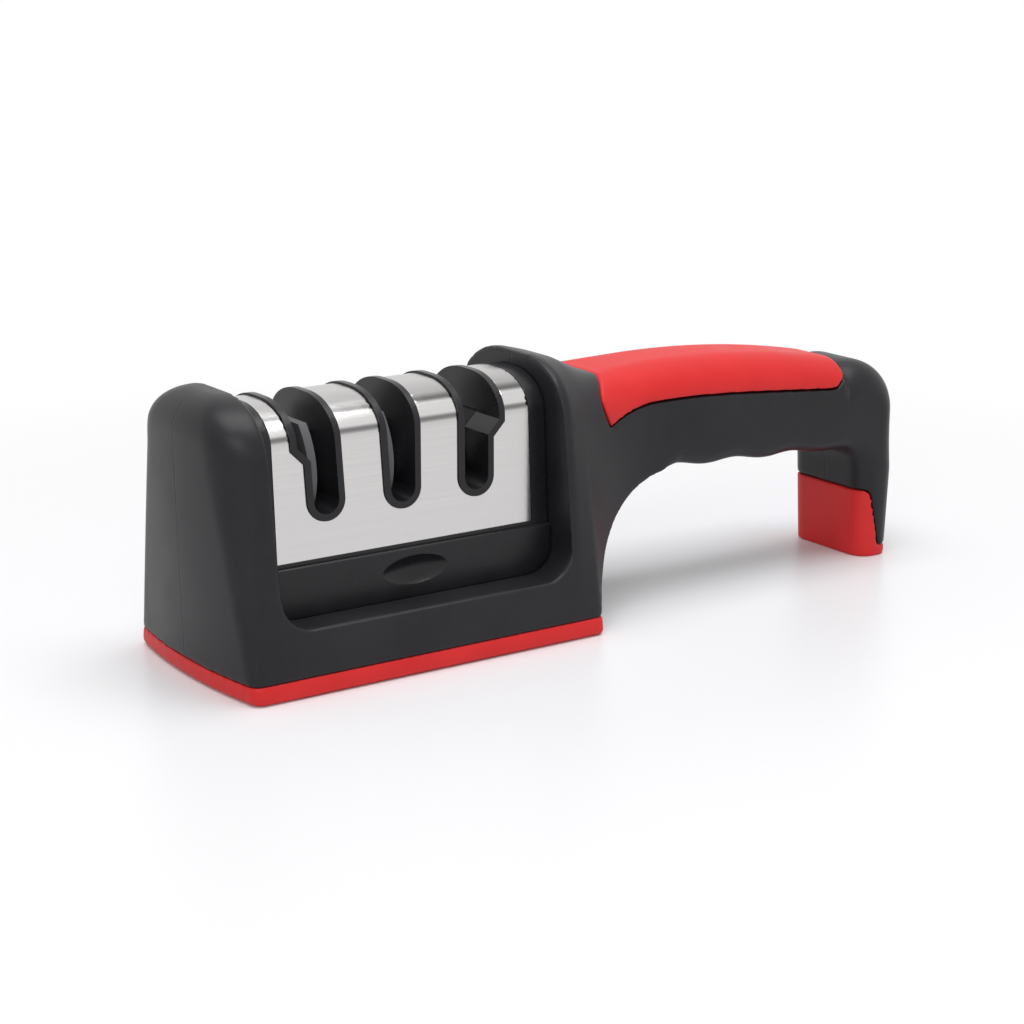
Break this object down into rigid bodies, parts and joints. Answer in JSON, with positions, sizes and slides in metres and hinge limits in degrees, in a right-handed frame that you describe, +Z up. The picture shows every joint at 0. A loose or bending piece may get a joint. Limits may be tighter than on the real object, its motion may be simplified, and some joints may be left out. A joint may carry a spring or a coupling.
{
  "type": "pull through knife sharpener",
  "caption": "Bench knife sharpener with a bar handle, a soft foot and toe, and a lift-out cartridge with slots for coarse, medium and fine sharpening.",
  "frame": {"origin": "middle of the base pad's underside, on the table", "axes": "+X along the object to the handle, -Y the front seen in the picture, +Z up"},
  "size_m": [0.2085, 0.0582, 0.0666],
  "materials": {
    "black_plastic": "fine matte grain, moulded",
    "cartridge_plastic": "satin, moulded",
    "guide_plastic": "satin grey-black, moulded",
    "red_rubber": "soft-touch, satin",
    "brushed_steel": "fine brushed along the length",
    "screw_steel": "zinc plated, dull",
    "carbide": "ground sintered carbide",
    "grey_ceramic": "fine ground, unglazed",
    "white_ceramic": "fine ground, unglazed"
  },
  "bodies": {
    "body": {"front_shell": "black_plastic", "rear_shell": "black_plastic", "base_plate": "black_plastic", "base_pad": "red_rubber", "handle_grip": "red_rubber", "toe_grip": "red_rubber", "shell_screws": "screw_steel", "base_screws": "screw_steel"},
    "cartridge": {"cartridge_housing": "cartridge_plastic", "cartridge_base_cover": "cartridge_plastic", "steel_cover": "brushed_steel", "cartridge_screws": "screw_steel", "coarse_holder": "cartridge_plastic", "coarse_blade_left": "carbide", "coarse_blade_right": "carbide", "coarse_guide": "guide_plastic", "medium_holder": "cartridge_plastic", "medium_rod_left": "grey_ceramic", "medium_rod_right": "grey_ceramic", "medium_guide": "guide_plastic", "fine_holder": "cartridge_plastic", "fine_rod_left": "white_ceramic", "fine_rod_right": "white_ceramic"}
  },
  "joints": [
    {"name": "cartridge_lift", "type": "slide", "parent": "body", "child": "cartridge", "axis": [0, 0, 1], "range_m": [0, 0.06]}
  ]
}
